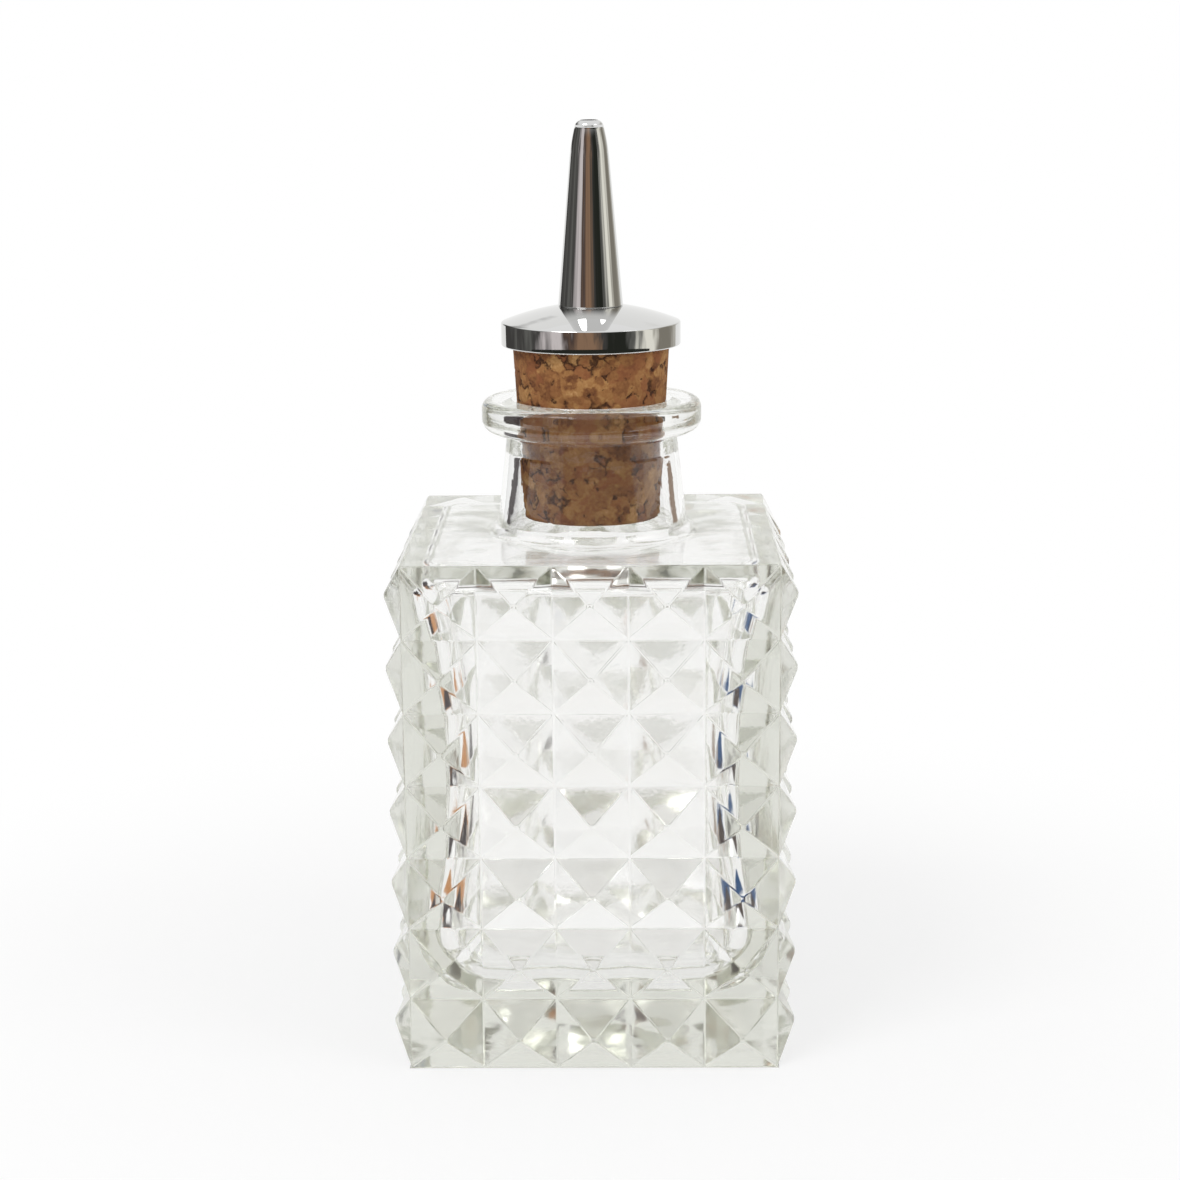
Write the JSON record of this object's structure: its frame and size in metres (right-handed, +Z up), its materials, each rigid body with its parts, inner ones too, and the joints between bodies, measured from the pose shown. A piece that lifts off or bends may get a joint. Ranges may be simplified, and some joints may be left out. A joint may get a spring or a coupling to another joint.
{
  "type": "bitters bottle",
  "caption": "Square clear-glass bitters bottle with pyramid-faceted sides, a ringed neck and a tapered cork stopper that carries a domed metal cap and a conical dasher spout.",
  "frame": {"origin": "centre of the base, on the surface that the bottle stands on", "axes": "+Z up along the axis of the neck and stopper, +X and +Y square to the faceted sides, the pictured side towards -Y"},
  "size_m": [0.0584, 0.0584, 0.134],
  "materials": {
    "clear_glass": "clear moulded glass, fire polished, faintly grey-green in the thick parts",
    "agglomerated_cork": "matt agglomerated cork with light and dark granules and small dark pits",
    "polished_chrome": "polished bright plating with fine turning marks",
    "steel_tube": "plain drawn tube"
  },
  "bodies": {
    "bottle": {"glass_bottle": "clear_glass"},
    "cork": {"cork_stopper": "agglomerated_cork"},
    "dasher_top": {"dasher_spout": "polished_chrome", "flange_cap": "polished_chrome", "stem_tube": "steel_tube"}
  },
  "joints": [
    {"name": "stopper_lift", "type": "slide", "parent": "bottle", "child": "cork", "axis": [0, 0, 1], "range_m": [0, 0.045]},
    {"name": "dasher_turn", "type": "hinge", "parent": "cork", "child": "dasher_top", "pos_m": [0, 0, 0.1], "axis": [0, 0, 1], "continuous": true}
  ]
}
